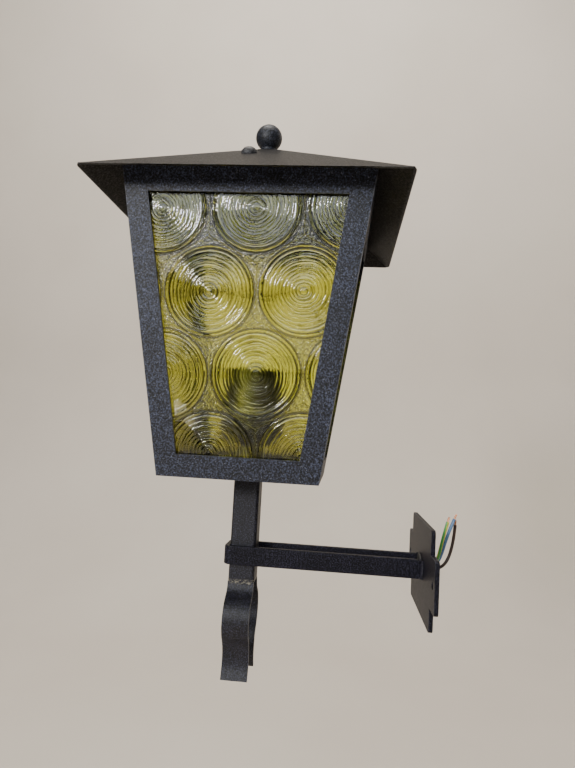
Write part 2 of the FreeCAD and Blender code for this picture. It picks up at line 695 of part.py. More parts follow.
def make_finial():
    crown = "eave_height + roof_flat"
    bore = "stud_radius + thread_clearance"
    ring("finial_collar", "collar_radius", bore, "collar_height", on_axis(crown))
    ball = primitive("Sphere", "ball_blank", on_axis(f"{crown} + ball_height"),
                     Radius="ball_radius",
                     Angle1="-1 * asin((ball_height - collar_height) / ball_radius)")
    hole = primitive("Cylinder", "ball_hole", on_axis(f"{crown} + collar_height - cut_over"),
                     Radius=bore, Height="stud_grip + 2 * cut_over")
    cut("finial_ball", ball, [hole])
    low = "stud_tail + roof_thick"
    primitive("Cylinder", "finial_stud", on_axis(f"{crown} - ({low})"),
              Radius="stud_radius", Height=f"{low} + collar_height + stud_grip")
    washer_low = f"{crown} - roof_thick - stud_washer_thick"
    ring("finial_washer", "stud_washer_radius", "stud_radius + seat_clearance",
         "stud_washer_thick", on_axis(washer_low))
    nut = new_body("finial_nut")
    hexagon = new_sketch(nut, "nut_outline")
    corner, step = "nut_across / sqrt(3)", 60
    draw_outline(hexagon, [(f"{corner} * cos({turn} deg)", f"{corner} * sin({turn} deg)")
                           for turn in range(0, 360, step)])
    draw_circle(hexagon, "0", "0", "stud_radius + thread_clearance / 2")
    extrude(nut, hexagon, "nut_height")
    nut.Placement = on_axis(f"{washer_low} - nut_height")


# ---------------------------------------------------------------- cable and cores
def tube(label, points, radius, first_bend=math.inf):
    """A round cord along straight runs joined by tangent arcs, each as large as its runs allow;
    the first can be held tighter, where the cord turns inside a tube."""
    edges = []
    last = points[0]
    radii = []
    for before, corner, after in zip(points, points[1:], points[2:]):
        into = (corner - before).normalize()
        out = (after - corner).normalize()
        half_turn = into.getAngle(out) / 2
        shorter = min((corner - before).Length, (after - corner).Length)
        arc_radius = 0.45 * shorter / math.tan(half_turn)
        if not radii:
            arc_radius = min(arc_radius, first_bend)
        back = arc_radius * math.tan(half_turn)
        start, end = corner - into * back, corner + out * back
        inward = (out - into).normalize()
        middle = corner + inward * arc_radius * (1 / math.cos(half_turn) - 1)
        edges += [Part.LineSegment(last, start).toShape(), Part.Arc(start, middle, end).toShape()]
        radii.append(round(arc_radius, 1))
        last = end
    edges.append(Part.LineSegment(last, points[-1]).toShape())
    path = Part.Wire(edges)
    way = (points[1] - points[0]).normalize()
    section = Part.Wire(Part.makeCircle(radius, points[0], way))
    shape = path.makePipeShell([section], True, False)
    expected = math.pi * radius ** 2 * path.Length
    print(f"{label}: length {path.Length:.1f}, radii {radii}, "
          f"volume {shape.Volume:.1f} of {expected:.1f}")
    solid(label, shape.Solids[0])
    return points[-1], (points[-1] - points[-2]).normalize()


# Routes of the bare-ended cores behind the plate, from the cable's end at the plate's back.
CORE_ROUTES = {
    "core_earth": [(1.4, 0, 0.8), (1.4, 5.5, 0.8), (2.4, 8.6, 3.9), (3.2, 10.4, 10.2),
                   (3.9, 12.0, 18.6), (3.8, 13.9, 26.8), (3.4, 16.0, 34.5)],
    "core_blue": [(-1.4, 0, 0.8), (-1.4, 6.5, 0.8), (-0.9, 10.6, 3.7), (-0.2, 13.0, 10.2),
                  (0.6, 15.2, 19), (0.8, 18.0, 28.2), (0.4, 21.4, 36.6)],
    "core_brown": [(0, 0, -1.6), (0, 6.8, -1.6), (-1.8, 13.8, -0.2), (-4.0, 18.4, 5.4),
                   (-5.0, 21.2, 14.5), (-5.0, 22.6, 23.8), (-4.2, 23, 31.6)],
}


def make_cable():
    start = at("0", "0 - reach", "holder_base_height + cable_start")
    turn = at("0", "0 - reach", "0")
    middle = at("0.8", "0 - reach / 2", "0 - 0.8")
    straight = at("0", "0 - reach / 5", "0")
    tube("supply_cable", [start, turn, middle, straight, Vector(0, 0, 0)],
         value("cable_radius"), value("cable_bend"))
    copper = []
    for name, route in CORE_ROUTES.items():
        tip, way = tube(name, [Vector(*point) for point in route], value("core_wire_radius"))
        copper.append(Part.makeCylinder(value("copper_radius"), value("copper_length"), tip, way))
    solid("core_ends", Part.makeCompound(copper))


# ---------------------------------------------------------------- assembly
make_wall_plate()
make_grommet()
make_arm()
make_stem()
for side_name in SIDES:
    make_side(side_name)
make_clips()
make_floor()
make_lampholder()
make_bridge()
make_roof()
make_roof_screw(1, "right")
make_roof_screw(-1, "left")
make_finial()
make_cable()

NODES = [
    "wall_plate", "cable_grommet", "arm_strap", "arm_welds", "stem_tube",
    *[f"side_frame_{name}" for name in SIDES], *[f"glass_pane_{name}" for name in SIDES],
    "glass_clips", "floor_plate", "earth_screw", "earth_tag",
    "holder_nipple", "nipple_lower_nut", "nipple_upper_nut", "holder_riser", "holder_cap",
    "holder_core", "terminal_screws", "holder_shell", "holder_thread", "holder_contact",
    "roof_bridge", "bridge_rivets", *[f"roof_slope_{name}" for name in SIDES],
    "roof_screw_right", "roof_screw_left",
    "screw_washer_right", "screw_washer_left", "finial_collar", "finial_ball", "finial_stud",
    "finial_washer", "finial_nut", "supply_cable", *CORE_ROUTES, "core_ends",
]

doc.recompute()
for thing in doc.Objects:
    if "Invalid" in thing.State or "Error" in thing.State:
        raise RuntimeError(f"{thing.Label} failed: {thing.State}")
os.makedirs("parts", exist_ok=True)
for node in NODES:
    shape = doc.getObjectsByLabel(node)[0].Shape
    if shape.isNull() or not shape.isValid() or not shape.Solids:
        raise RuntimeError(f"{node} has no valid solid")
for node in NODES:
    doc.getObjectsByLabel(node)[0].Shape.exportStep(f"parts/{node}.step")
print(len(NODES), "nodes written")
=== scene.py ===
# %% [markdown]
# # A wall lantern: painted iron, bullseye glass and a wire tail
# The lantern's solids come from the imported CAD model. This lesson gives them their looks: soft
# edges, hammered paint, pressed glass, striped wires, and a plain studio around them.
# Everything is in metres, in the frame of the CAD model, so nothing has to be fitted.

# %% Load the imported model
import json
import math

import bmesh
import bpy
import numpy as np
from mathutils import Matrix, Vector


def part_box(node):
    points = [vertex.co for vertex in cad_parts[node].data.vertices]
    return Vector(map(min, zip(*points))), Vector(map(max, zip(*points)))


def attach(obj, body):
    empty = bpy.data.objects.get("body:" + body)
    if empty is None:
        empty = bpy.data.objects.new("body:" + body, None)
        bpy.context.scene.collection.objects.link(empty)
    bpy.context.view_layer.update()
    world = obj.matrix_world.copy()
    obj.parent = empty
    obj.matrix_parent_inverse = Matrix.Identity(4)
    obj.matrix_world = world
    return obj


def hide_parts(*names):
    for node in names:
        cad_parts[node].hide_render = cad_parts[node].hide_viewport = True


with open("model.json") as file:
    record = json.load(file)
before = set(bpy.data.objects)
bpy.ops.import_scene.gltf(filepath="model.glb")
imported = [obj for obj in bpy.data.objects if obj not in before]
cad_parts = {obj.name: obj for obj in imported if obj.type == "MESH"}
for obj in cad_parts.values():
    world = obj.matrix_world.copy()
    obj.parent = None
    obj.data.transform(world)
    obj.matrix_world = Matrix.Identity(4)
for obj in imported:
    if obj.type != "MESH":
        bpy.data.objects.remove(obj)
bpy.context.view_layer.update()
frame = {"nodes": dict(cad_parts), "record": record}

mm = 0.001
body_of_node = {node: body for body, nodes in frame["record"]["behaviour"]["bodies"].items()
                for node in nodes}
slot_of_node = {row["node"]: row["material_slot"] for row in frame["record"]["subparts"]}

# %% [markdown]
# ## The camera
# A camera is a place, a direction and a lens. This one stands close to the lantern, a little
# below its roof, and leans over by about three degrees, so upright lines spread towards the top.
# The matrix is built from the view direction: its columns are right, up and backwards.

# %% Camera
camera_place = Vector((462.35, -67.45, 95.6)) * mm
yaw, pitch, roll = -0.095, 0.0812, 0.0552
forward = Vector((-math.cos(yaw) * math.cos(pitch), math.sin(yaw) * math.cos(pitch),
                  math.sin(pitch)))
level = forward.cross(Vector((0, 0, 1))).normalized()
above = level.cross(forward)
right = math.cos(roll) * level + math.sin(roll) * above
up = math.cos(roll) * above - math.sin(roll) * level
lens_data = bpy.data.cameras.new("studio_camera")
lens_data.sensor_fit = "AUTO"
lens_data.sensor_width = 36.0
lens_data.lens = 27.47
lens_data.clip_start = 0.01
camera = bpy.data.objects.new("studio_camera", lens_data)
bpy.context.scene.collection.objects.link(camera)
camera.matrix_world = Matrix.Translation(camera_place) @ Matrix(
    (right, up, -forward)).transposed().to_4x4()
bpy.context.scene.camera = camera
print("camera", tuple(round(v, 3) for v in camera_place), "lens", round(lens_data.lens, 1))

# %% [markdown]
# ## Meshes from whole arrays
# A surface is a grid of points: a function of two parameters, worked out for the whole grid at
# once. The faces join neighbours of the grid, and a grid that closes on itself joins its last
# row to its first. Writing the arrays with foreach_set is much faster than adding vertices.


# %% Helpers that turn arrays into meshes
def grid_faces(rows, columns, wrap=False):
    """Four corners for each cell of a grid: a point, its right neighbour, and the two above.
    With wrap, the last column's right neighbour is the first column."""
    across = columns if wrap else columns - 1
    row, column = np.meshgrid(np.arange(rows - 1), np.arange(across), indexing="ij")
    beside = (column + 1) % columns
    corners = [row * columns + column, row * columns + beside,
               (row + 1) * columns + beside, (row + 1) * columns + column]
    return np.stack(corners, axis=-1).reshape(-1, 4)


def new_piece(name, points, faces, smooth=True):
    """An object at the origin from an array of points and a list of faces."""
    mesh = bpy.data.meshes.new(name)
    mesh.from_pydata(np.asarray(points, float).reshape(-1, 3).tolist(), [],
                     [list(map(int, face)) for face in faces])
    mesh.validate()
    mesh.polygons.foreach_set("use_smooth", np.full(len(mesh.polygons), smooth))
    mesh.update()
    thing = bpy.data.objects.new(name, mesh)
    bpy.context.scene.collection.objects.link(thing)
    return thing


def join_parts(parts):
    """One list of points and one of faces from several (points, faces) pairs: each pair's face
    numbers move up by the number of points before it."""
    points, faces, start = [], [], 0
    for part_points, part_faces in parts:
        part_points = np.asarray(part_points, float).reshape(-1, 3)
        points.append(part_points)
        faces += [[int(corner) + start for corner in face] for face in part_faces]
        start += len(part_points)
    return np.concatenate(points), faces


def settle(piece, body, material, replaced=()):
    """Rides a piece on its body, paints it, and hides the CAD parts it stands for."""
    piece.data.materials.clear()
    piece.data.materials.append(material)
    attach(piece, body)
    if replaced:
        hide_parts(*replaced)
    return piece


def tube_shell(path, radius, sides=16, ends=True):
    """A round tube: at each point of the path, a ring of radius times (cos, sin) in the plane
    square to the path. The ring's first axis is carried from point to point by removing the
    part of it that lies along the path, so that the rings don't twist."""
    path = np.asarray(path, float)
    radius = np.broadcast_to(radius, len(path))
    along = np.gradient(path, axis=0)
    along /= np.linalg.norm(along, axis=1, keepdims=True)
    first = np.cross(along[0], [0.0, 0.0, 1.0])
    if np.linalg.norm(first) < 0.1:
        first = np.cross(along[0], [1.0, 0.0, 0.0])
    axes = []
    for way in along:
        first = first - way * first.dot(way)
        first = first / np.linalg.norm(first)
        axes.append(first)
    axes = np.array(axes)
    second = np.cross(along, axes)
    turn = np.linspace(0, 2 * np.pi, sides, endpoint=False)
    rings = (path[:, None] + radius[:, None, None] *
             (np.cos(turn)[None, :, None] * axes[:, None] +
              np.sin(turn)[None, :, None] * second[:, None]))
    faces = grid_faces(len(path), sides, wrap=True).tolist()
    if ends:
        last = (len(path) - 1) * sides
        faces += [list(range(sides))[::-1], [last + side for side in range(sides)]]
    return rings.reshape(-1, 3), faces


print("helpers ready")

# %% [markdown]
# ## Shader helpers
# A material is a tree of nodes. These two helpers add a node with its settings and its sockets
# in one line: a number or a colour is set on the socket, and another node's output is linked.


# %% Helpers for node trees
def add(tree, kind, sockets=None, **settings):
    """A new node; sockets maps an input's name or number to a value or to another output."""
    made = tree.nodes.new(kind)
    for name, value in settings.items():
        setattr(made, name, value)
    for name, value in (sockets or {}).items():
        if isinstance(value, bpy.types.NodeSocket):
            tree.links.new(value, made.inputs[name])
        else:
            made.inputs[name].default_value = value
    return made


def maths(tree, operation, *values, clamp=False):
    """The output of a Math node on one to three values or outputs."""
    made = add(tree, "ShaderNodeMath", dict(enumerate(values)), operation=operation)
    made.use_clamp = clamp
    return made.outputs[0]


def blend_colours(tree, share, first, second, mode="MIX"):
    """The output of a Mix node on colours: share 0 gives the first, 1 the second."""
    made = add(tree, "ShaderNodeMix", data_type="RGBA", blend_type=mode)
    for socket, value in ((made.inputs[0], share), (made.inputs[6], first),
                          (made.inputs[7], second)):
        if isinstance(value, bpy.types.NodeSocket):
            tree.links.new(value, socket)
        else:
            socket.default_value = value
    return made.outputs[2]


def between(tree, value, low, high, to_low=0.0, to_high=1.0, smooth=False):
    """Maps value from the range low..high to to_low..to_high, held at its ends."""
    return add(tree, "ShaderNodeMapRange", {0: value, 1: low, 2: high, 3: to_low, 4: to_high},
               interpolation_type="SMOOTHSTEP" if smooth else "LINEAR").outputs[0]


def noise(tree, where, scale, detail=2.0, roughness=0.5, distortion=0.0):
    return add(tree, "ShaderNodeTexNoise", {"Vector": where, "Scale": scale, "Detail": detail,
                                            "Roughness": roughness, "Distortion": distortion},
               noise_dimensions="3D").outputs["Fac"]


def new_group(name, inputs, outputs):
    """A shader node group with named sockets; gives the tree, its input and output nodes."""
    tree = bpy.data.node_groups.new(name, "ShaderNodeTree")
    for title, kind, value in inputs:
        socket = tree.interface.new_socket(title, in_out="INPUT", socket_type=f"NodeSocket{kind}")
        socket.default_value = value
    for title, kind in outputs:
        tree.interface.new_socket(title, in_out="OUTPUT", socket_type=f"NodeSocket{kind}")
    return tree, tree.nodes.new("NodeGroupInput"), tree.nodes.new("NodeGroupOutput")


def use_group(tree, group, **values):
    """Places a group in a tree; a socket's name is written with underscores for spaces."""
    made = tree.nodes.new("ShaderNodeGroup")
    made.node_tree = group
    for name, value in values.items():
        socket = made.inputs[name.replace("_", " ")]
        if isinstance(value, bpy.types.NodeSocket):
            tree.links.new(value, socket)
        else:
            socket.default_value = value
    return made


def new_material(name, **constants):
    """A material with a Principled shader, whose constants are set on its own sockets."""
    material = bpy.data.materials.new(name)
    material.use_nodes = True
    tree = material.node_tree
    shader = tree.nodes["Principled BSDF"]
    for title, value in constants.items():
        shader.inputs[title.replace("_", " ")].default_value = value
    return material, tree, shader


def object_place(tree):
    return add(tree, "ShaderNodeTexCoord").outputs["Object"]


print("shader helpers ready")

# %% [markdown]
# ## Effects that several finishes share
# Four effects come back on many pieces, so each is a node group with its own inputs. Hammered paint
# is two sizes of lumps and a scatter of bright flecks, whose pale colour is a painted glint. Edge
# wear compares the true normal with the one a rounded edge would have. Dust settles on what faces
# up. Fine grain is a soft noise for smooth parts. The groups give only colours, masks and heights.

# %% Node group: hammered paint
hammered, give, take = new_group(
    "hammered_paint",
    [("Paint", "Color", (0.03, 0.03, 0.04, 1)), ("Fleck", "Color", (0.2, 0.2, 0.22, 1)),
     ("Grain size", "Float", 1.1), ("Grain depth", "Float", 0.08), ("Flecks", "Float", 0.5)],
    [("Color", "Color"), ("Roughness", "Float"), ("Height", "Float")])
place = object_place(hammered)
fineness = maths(hammered, "DIVIDE", 1000.0, give.outputs["Grain size"])
lumps = noise(hammered, place, fineness, detail=3.0, roughness=0.62)
hollows = noise(hammered, place, maths(hammered, "MULTIPLY", fineness, 0.22), detail=2.0)
specks = add(hammered, "ShaderNodeTexVoronoi", {"Vector": place, "Scale": maths(
    hammered, "MULTIPLY", fineness, 0.85), "Randomness": 1.0}, feature="F1")
# The flecks: pale spots in the base colour that are a painted glint of the paint's flakes; they are
# also glossier.
fleck_and_glint = maths(hammered, "MULTIPLY",
              between(hammered, specks.outputs["Distance"], 0.30, 0.12, smooth=True),
              between(hammered, noise(hammered, place, maths(hammered, "MULTIPLY", fineness, 0.5)),
                      0.50, 0.62, smooth=True))
fleck_and_glint = maths(hammered, "MULTIPLY", fleck_and_glint, give.outputs["Flecks"], clamp=True)
patches = between(hammered, noise(hammered, place, 38.0, detail=3.0), 0.3, 0.7, 0.75, 1.25)
crumbs = noise(hammered, place, maths(hammered, "MULTIPLY", fineness, 0.9), detail=2.0,
               roughness=0.7)
shade = add(hammered, "ShaderNodeVectorMath", {0: give.outputs["Paint"]}, operation="SCALE")
hammered.links.new(maths(hammered, "MULTIPLY", patches, maths(
    hammered, "MULTIPLY", between(hammered, lumps, 0.36, 0.64, 0.5, 1.5),
    between(hammered, crumbs, 0.44, 0.66, 0.08, 6.5))), shade.inputs["Scale"])
# The fleck colour, a painted glint, is mixed over the paint.
hammered.links.new(blend_colours(hammered, fleck_and_glint, shade.outputs[0], give.outputs["Fleck"]),
                   take.inputs["Color"])
hammered.links.new(between(hammered, maths(hammered, "SUBTRACT", lumps, maths(
    hammered, "MULTIPLY", fleck_and_glint, 0.3)), 0.25, 0.75, 0.38, 0.62), take.inputs["Roughness"])
depth = maths(hammered, "MULTIPLY", give.outputs["Grain depth"], mm)
hammered.links.new(maths(hammered, "MULTIPLY", depth, maths(
    hammered, "ADD", lumps, maths(hammered, "MULTIPLY", hollows, 1.2))), take.inputs["Height"])
print("group", hammered.name, len(hammered.nodes), "nodes")

# %% Node group: edge wear
worn, give, take = new_group(
    "edge_wear", [("Width", "Float", 0.6), ("Amount", "Float", 0.5), ("Patch size", "Float", 6.0)],
    [("Mask", "Float")])
place = object_place(worn)
rounded = add(worn, "ShaderNodeBevel", {"Radius": maths(
    worn, "MULTIPLY", give.outputs["Width"], mm)}, samples=4)
true_normal = add(worn, "ShaderNodeNewGeometry").outputs["Normal"]
alike = add(worn, "ShaderNodeVectorMath", {0: rounded.outputs[0], 1: true_normal},
            operation="DOT_PRODUCT").outputs["Value"]
edge = between(worn, alike, 0.995, 0.90)
broken = noise(worn, place, maths(worn, "DIVIDE", 1000.0, give.outputs["Patch size"]),
               detail=5.0, roughness=0.7)
gate = between(worn, maths(worn, "ADD", broken, maths(
    worn, "MULTIPLY", maths(worn, "SUBTRACT", give.outputs["Amount"], 0.5), 0.5)), 0.47, 0.56)
worn.links.new(maths(worn, "MULTIPLY", edge, gate), take.inputs["Mask"])
print("group", worn.name, len(worn.nodes), "nodes")

# %% Node group: dust
dusty, give, take = new_group(
    "settled_dust", [("Amount", "Float", 0.4), ("Patch size", "Float", 12.0)],
    [("Mask", "Float")])
place = object_place(dusty)
facing_up = add(dusty, "ShaderNodeSeparateXYZ", {0: add(
    dusty, "ShaderNodeNewGeometry").outputs["Normal"]}).outputs["Z"]
lying = between(dusty, facing_up, 0.15, 0.85, smooth=True)
cloud = between(dusty, noise(dusty, place, maths(
    dusty, "DIVIDE", 1000.0, give.outputs["Patch size"]), detail=6.0, roughness=0.65), 0.36, 0.68)
grit = between(dusty, noise(dusty, place, 1500.0, detail=1.0), 0.60, 0.70)
everywhere = maths(dusty, "MULTIPLY", grit, 0.25)
dusty.links.new(maths(dusty, "MULTIPLY", give.outputs["Amount"], maths(
    dusty, "ADD", maths(dusty, "MULTIPLY", lying, maths(dusty, "ADD", cloud, maths(
        dusty, "MULTIPLY", grit, 0.5))), everywhere), clamp=True), take.inputs["Mask"])
print("group", dusty.name, len(dusty.nodes), "nodes")

# %% Node group: fine grain
grained, give, take = new_group(
    "fine_grain", [("Grain size", "Float", 0.3), ("Base", "Float", 0.3), ("Spread", "Float", 0.1),
                   ("Stretch", "Vector", (1.0, 1.0, 1.0))],
    [("Roughness", "Float"), ("Height", "Float"), ("Tone", "Float")])
place = add(grained, "ShaderNodeVectorMath", {0: object_place(grained),
                                              1: give.outputs["Stretch"]}, operation="MULTIPLY")
fine = noise(grained, place.outputs[0], maths(grained, "DIVIDE", 1000.0,
                                              give.outputs["Grain size"]), detail=3.0)
broad = noise(grained, place.outputs[0], 90.0, detail=4.0, roughness=0.6)
grained.links.new(maths(grained, "ADD", give.outputs["Base"], maths(
    grained, "MULTIPLY", maths(grained, "SUBTRACT", maths(
        grained, "ADD", fine, broad), 1.0), give.outputs["Spread"])), take.inputs["Roughness"])
grained.links.new(maths(grained, "MULTIPLY", fine, 0.00003), take.inputs["Height"])
grained.links.new(between(grained, broad, 0.3, 0.7), take.inputs["Tone"])
print("group", grained.name, len(grained.nodes), "nodes")

# %% [markdown]
# ## Painted iron
# The body, stem, arm and plate carry a thick anthracite hammer paint: nearly black with a cold
# tone, lumpy, with flecks whose pale colour is a painted glint. Paint is a dielectric, so Metallic
# stays 0 and the gloss comes from roughness; worn edges show a lighter primer. Stem, arm and plate
# are smoother than the frames, and their copies of the paint are blacker, a painted shade for the
# lower light they get; below the arm the stem has a lighter band that is partly scratches and
# partly a painted highlight. The roof has the same paint after more weather: browner and flatter.


# %% Painted finishes
def painted(name, paint, fleck_and_glint_colour, grain=1.1, depth=0.30, fleck_and_glint_share=0.9, wear=0.5, wear_width=0.6,
            dust=0.12, worn_colour=(0.10, 0.105, 0.12, 1), specular=0.4, scratch_and_highlight_height=None):
    """Hammered paint, then wear on the edges, then dust, then a lighter band round the height
    given, partly scratches and partly a painted highlight, each mixed over the last."""
    material, tree, shader = new_material(name, IOR=1.45, Specular_IOR_Level=specular)
    paint_node = use_group(tree, hammered, Paint=paint, Fleck=fleck_and_glint_colour, Grain_size=grain,
                           Grain_depth=depth, Flecks=fleck_and_glint_share)
    wear_node = use_group(tree, worn, Width=wear_width, Amount=wear, Patch_size=5.0)
    dust_node = use_group(tree, dusty, Amount=dust, Patch_size=14.0)
    colour = blend_colours(tree, wear_node.outputs["Mask"], paint_node.outputs["Color"],
                           worn_colour)
    colour = blend_colours(tree, dust_node.outputs["Mask"], colour,
                           (0.23, 0.215, 0.19, 1))
    # A lighter band of streaks at this height: partly scratches, partly a painted highlight.
    if scratch_and_highlight_height is not None:
        spot = add(tree, "ShaderNodeSeparateXYZ", {0: object_place(tree)})
        away = maths(tree, "ABSOLUTE", maths(tree, "SUBTRACT", spot.outputs["Z"], scratch_and_highlight_height))
        streaks = noise(tree, add(tree, "ShaderNodeVectorMath", {
            0: object_place(tree), 1: (0.35, 0.35, 2.2)}, operation="MULTIPLY").outputs[0],
            900.0, detail=3.0, roughness=0.7)
        scratch_and_highlight = maths(tree, "MULTIPLY", between(tree, away, 2.4 * mm, 0.8 * mm, smooth=True),
                       between(tree, streaks, 0.52, 0.60))
        colour = blend_colours(tree, maths(tree, "MULTIPLY", scratch_and_highlight, 0.75), colour,
                               (0.34, 0.31, 0.23, 1))
    tree.links.new(colour, shader.inputs["Base Color"])
    roughness = maths(tree, "ADD", paint_node.outputs["Roughness"], maths(
        tree, "MULTIPLY", dust_node.outputs["Mask"], 0.35), clamp=True)
    tree.links.new(roughness, shader.inputs["Roughness"])
    bump = add(tree, "ShaderNodeBump", {"Strength": 1.0, "Distance": 1.0,
                                        "Height": paint_node.outputs["Height"]})
    tree.links.new(bump.outputs[0], shader.inputs["Normal"])
    return material


strap_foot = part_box("arm_strap")[0]
finishes = {
    "frame_paint": painted("frame_paint", (0.0075, 0.0088, 0.0150, 1), (0.17, 0.18, 0.23, 1)),
    # Stem, arm and plate take darker copies of the frame paint: painted shade for the lower light
    # they get.
    "shaded_stem_paint": painted("shaded_stem_paint", (0.0042, 0.0041, 0.0070, 1), (0.09, 0.09, 0.12, 1),
                          grain=0.9, depth=0.14, fleck_and_glint_share=0.45, dust=0.05,
                          scratch_and_highlight_height=strap_foot.z - 13 * mm),
    "shaded_bracket_paint": painted("shaded_bracket_paint", (0.0036, 0.0034, 0.0060, 1),
                             (0.09, 0.09, 0.12, 1), grain=0.9, depth=0.14, fleck_and_glint_share=0.55,
                             dust=0.02, specular=0.16),
    "roof_paint": painted("roof_paint", (0.0045, 0.0040, 0.0041, 1), (0.06, 0.056, 0.055, 1),
                          grain=1.3, depth=0.10, fleck_and_glint_share=0.3, dust=0.05, wear=0.6,
                          specular=0.10),
    "finial_satin": painted("finial_satin", (0.0085, 0.0095, 0.013, 1), (0.07, 0.07, 0.085, 1),
                            grain=0.8, depth=0.03, fleck_and_glint_share=0.3, wear=0.3, dust=0.15),
    "screw_steel": painted("screw_steel", (0.011, 0.011, 0.012, 1), (0.12, 0.12, 0.12, 1),
                           grain=0.6, depth=0.012, fleck_and_glint_share=0.3, wear=0.7, wear_width=0.4,
                           dust=0.15),
}
print("painted finishes", sorted(finishes))

# %% [markdown]
# ## Bare metals, mouldings and ceramic
# These lie inside or behind: zinc-plated clips and nuts, the brass of the lampholder, its black
# moulding and white ceramic, the rubber of the cable. Each is one Principled shader with the
# fine grain group for roughness and a slight relief, and a tone that drifts over the piece.


# %% Plain finishes
def plain_finish(name, dark, light, metallic, base, spread, grain=0.3, relief=1.0, dust=0.0,
                 stretch=(1.0, 1.0, 1.0), **constants):
    """Two tones mixed by the grain group's slow noise, with its roughness and its relief."""
    material, tree, shader = new_material(name, Metallic=metallic, **constants)
    grain_node = use_group(tree, grained, Grain_size=grain, Base=base, Spread=spread,
                           Stretch=stretch)
    colour = blend_colours(tree, grain_node.outputs["Tone"], dark, light)
    if dust:
        mask = use_group(tree, dusty, Amount=dust, Patch_size=8.0).outputs["Mask"]
        colour = blend_colours(tree, mask, colour, (0.25, 0.23, 0.2, 1))
    tree.links.new(colour, shader.inputs["Base Color"])
    tree.links.new(grain_node.outputs["Roughness"], shader.inputs["Roughness"])
    bump = add(tree, "ShaderNodeBump", {"Strength": relief, "Distance": 1.0,
                                        "Height": grain_node.outputs["Height"]})
    tree.links.new(bump.outputs[0], shader.inputs["Normal"])
    return material


finishes.update({
    "zinc_steel": plain_finish("zinc_steel", (0.42, 0.42, 0.40, 1), (0.62, 0.61, 0.57, 1),
                               1.0, 0.38, 0.25, dust=0.15),
    "lamp_brass": plain_finish("lamp_brass", (0.58, 0.40, 0.16, 1), (0.80, 0.60, 0.28, 1),
                               1.0, 0.28, 0.2),
    "bare_copper": plain_finish("bare_copper", (0.62, 0.27, 0.13, 1), (0.86, 0.44, 0.26, 1),
                                1.0, 0.30, 0.2, grain=0.15),
    "black_moulding": plain_finish("black_moulding", (0.010, 0.010, 0.011, 1),
                                   (0.02, 0.02, 0.022, 1), 0.0, 0.34, 0.15, dust=0.25),
    "white_ceramic": plain_finish("white_ceramic", (0.66, 0.64, 0.58, 1), (0.8, 0.79, 0.75, 1),
                                  0.0, 0.18, 0.08, Coat_Weight=0.5),
    "black_rubber": plain_finish("black_rubber", (0.012, 0.012, 0.013, 1),
                                 (0.026, 0.025, 0.024, 1), 0.0, 0.62, 0.2, dust=0.2),
})
print("finishes so far", len(finishes))

# %% [markdown]
# ## The wire cores
# Three insulated cores leave the plate's cable hole and stand up behind it, stiff enough to hold
# their own bend. Each is a tube along one smooth NURBS curve, whose control points are the
# cord's route. The earth core is striped, so each point also stores where it lies around and
# along the core, and the colour is worked out from that.

# %% Cords
core_radius = 1.2 * mm
routes = {
    "core_earth": [(1.4, 0, 0.8), (1.4, 5.5, 0.8), (2.4, 8.6, 3.9), (3.2, 10.4, 10.2),
                   (3.9, 12.0, 18.6), (3.8, 13.9, 26.8), (3.4, 16.0, 34.5)],
    "core_blue": [(-1.4, 0, 0.8), (-1.4, 6.5, 0.8), (-0.9, 10.6, 3.7), (-0.2, 13.0, 10.2),
                  (0.6, 15.2, 19), (0.8, 18.0, 28.2), (0.4, 21.4, 36.6)],
    "core_brown": [(0, 0, -1.6), (0, 6.8, -1.6), (-1.8, 13.8, -0.2), (-4.0, 18.4, 5.4),
                   (-5.0, 21.2, 14.5), (-5.0, 22.6, 23.8), (-4.2, 23, 31.6)],
}


def cord_line(name, points):
    """Points along a NURBS spline of order 3 that starts and ends at its end control points."""
    curve = bpy.data.curves.new(name, "CURVE")
    curve.dimensions = "3D"
    curve.resolution_u = 14
    spline = curve.splines.new("NURBS")
    spline.points.add(len(points) - 1)
    for point, place in zip(spline.points, points):
        point.co = (*(Vector(place) * mm), 1.0)
    spline.order_u = 3
    spline.use_endpoint_u = True
    guide = bpy.data.objects.new(name, curve)
    bpy.context.scene.collection.objects.link(guide)
    bpy.context.view_layer.update()
    mesh = bpy.data.meshes.new_from_object(guide)
    line = np.array([vertex.co for vertex in mesh.vertices])
    bpy.data.objects.remove(guide)
    bpy.data.meshes.remove(mesh)
    return line


def insulation(name, base, stripe, turns_per_mm=0.012):
    """Soft plastic; the stripe covers half of the way round and winds slowly along the core."""
    material, tree, shader = new_material(name, Roughness=0.42, IOR=1.5, Coat_Weight=0.15)
    wrap = add(tree, "ShaderNodeSeparateXYZ", {0: add(
        tree, "ShaderNodeAttribute", attribute_name="wrap").outputs["Vector"]})
    angle = maths(tree, "ARCTAN2", wrap.outputs["Y"], wrap.outputs["X"])
    wound = maths(tree, "SINE", maths(tree, "MULTIPLY_ADD", wrap.outputs["Z"],
                                      turns_per_mm * 2 * math.pi, maths(
                                          tree, "MULTIPLY", angle, 2.0)))
    share = between(tree, wound, -0.12, 0.12, smooth=True)
    tone = between(tree, noise(tree, object_place(tree), 400.0, detail=3.0), 0.3, 0.7, 0.78, 1.1)
    colour = blend_colours(tree, share, base, stripe)
    shade = add(tree, "ShaderNodeVectorMath", {0: colour}, operation="SCALE")
    tree.links.new(tone, shade.inputs["Scale"])
    tree.links.new(shade.outputs[0], shader.inputs["Base Color"])
    bump = add(tree, "ShaderNodeBump", {"Strength": 1.0, "Distance": 1.0, "Height": maths(
        tree, "MULTIPLY", noise(tree, object_place(tree), 1800.0), 0.00002)})
    tree.links.new(bump.outputs[0], shader.inputs["Normal"])
    return material


finishes["green_yellow_core"] = insulation("green_yellow_core", (0.62, 0.60, 0.03, 1),
                                           (0.05, 0.30, 0.06, 1))
finishes["blue_core"] = insulation("blue_core", (0.10, 0.20, 0.38, 1), (0.085, 0.18, 0.35, 1))
finishes["brown_core"] = insulation("brown_core", (0.045, 0.022, 0.014, 1),
                                    (0.038, 0.018, 0.012, 1))


